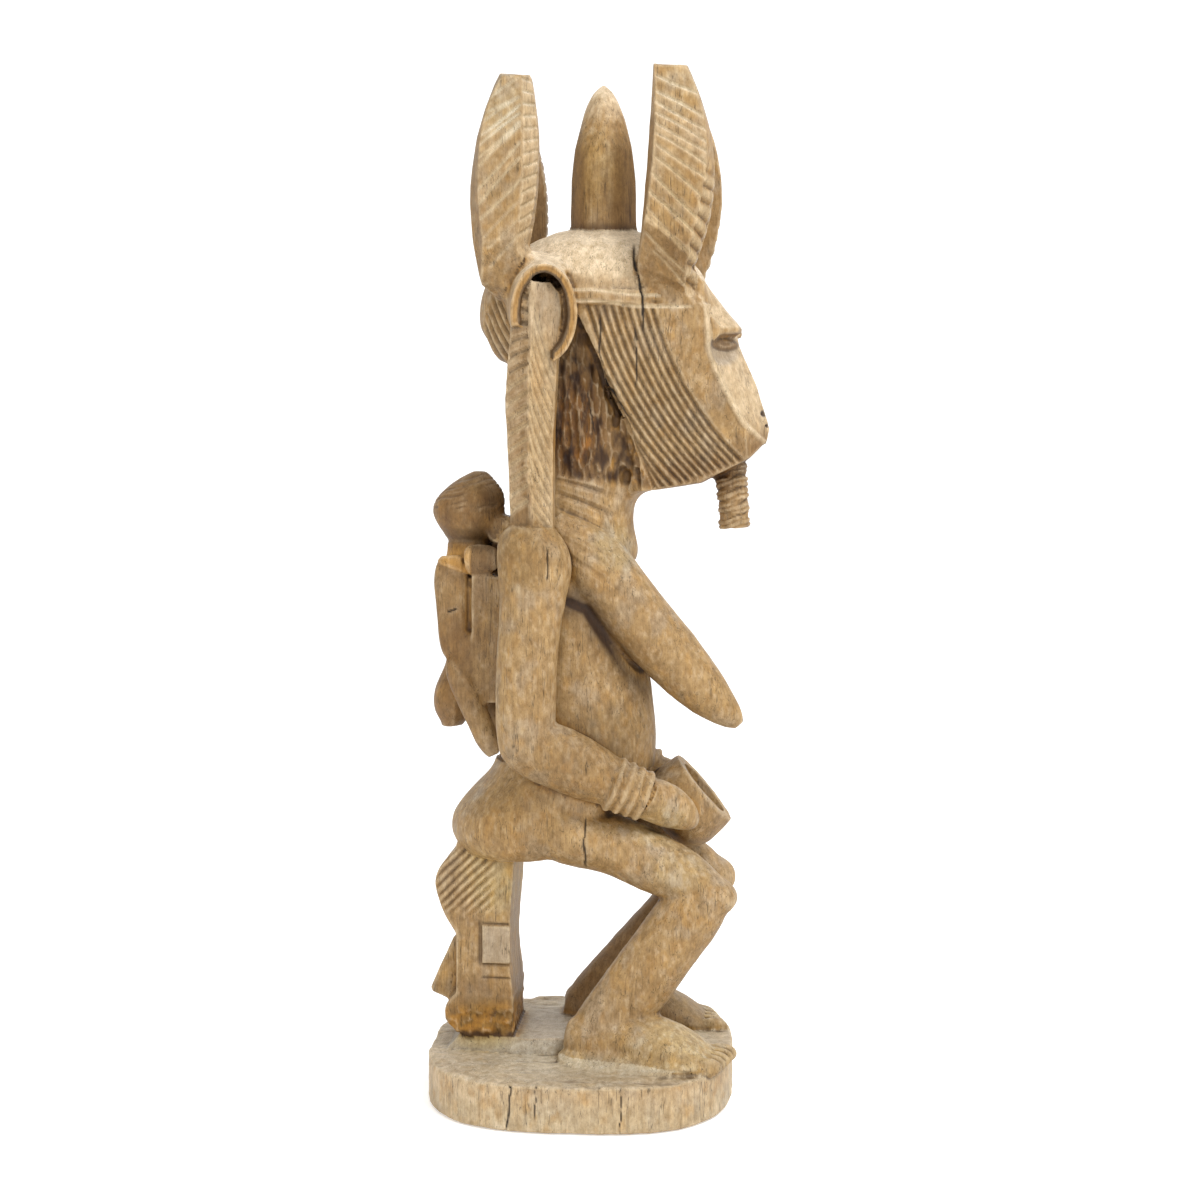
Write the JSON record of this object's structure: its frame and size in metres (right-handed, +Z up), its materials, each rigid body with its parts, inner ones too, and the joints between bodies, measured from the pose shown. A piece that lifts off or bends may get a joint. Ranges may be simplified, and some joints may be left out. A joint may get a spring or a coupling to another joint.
{
  "type": "carved seated maternity figure",
  "caption": "Carved wooden seated maternity figure with upright crests, centre horn, braids, beard, bowl in the lap and a child on the back, on a round base.",
  "frame": {"origin": "centre of the flat underside of the base", "axes": "+Z up, +X the way the figure faces, +Y towards the figure's left"},
  "size_m": [0.3041, 0.271, 0.9],
  "materials": {
    "figure_wood": "hand-carved, waxy patina",
    "pale_crown_wood": "worn smooth, pale",
    "stool_wood": "rough gouged",
    "dark_child_wood": "hand-carved, dark patina",
    "weathered_base_wood": "weathered, checked"
  },
  "bodies": {
    "root": {"back_cloth": "dark_child_wood", "base": "weathered_base_wood", "beard": "figure_wood", "bowl": "figure_wood", "cap": "pale_crown_wood", "centre_horn": "figure_wood", "child_body": "dark_child_wood", "child_head": "dark_child_wood", "face": "figure_wood", "headband": "pale_crown_wood", "left_back_crest": "figure_wood", "left_bracelets": "figure_wood", "left_braid": "figure_wood", "left_breast": "figure_wood", "left_child_arm": "dark_child_wood", "left_child_hand": "dark_child_wood", "left_child_leg": "dark_child_wood", "left_eyelid": "figure_wood", "left_foot": "figure_wood", "left_forearm": "figure_wood", "left_front_crest": "figure_wood", "left_hair_tube": "pale_crown_wood", "left_hand": "figure_wood", "left_shin": "figure_wood", "left_thigh": "figure_wood", "left_toes": "figure_wood", "left_upper_arm": "figure_wood", "nape_hair": "figure_wood", "neck": "figure_wood", "pelvis": "figure_wood", "right_back_crest": "figure_wood", "right_bracelets": "figure_wood", "right_braid": "figure_wood", "right_breast": "figure_wood", "right_child_arm": "dark_child_wood", "right_child_hand": "dark_child_wood", "right_child_leg": "dark_child_wood", "right_eyelid": "figure_wood", "right_foot": "figure_wood", "right_forearm": "figure_wood", "right_front_crest": "figure_wood", "right_hair_tube": "pale_crown_wood", "right_hand": "figure_wood", "right_shin": "figure_wood", "right_thigh": "figure_wood", "right_toes": "figure_wood", "right_upper_arm": "figure_wood", "stool_foot": "stool_wood", "stool_patch": "stool_wood", "stool_plinth": "weathered_base_wood", "stool_post": "stool_wood", "stool_roll": "stool_wood", "stool_tail": "stool_wood", "torso": "figure_wood"}
  },
  "joints": []
}
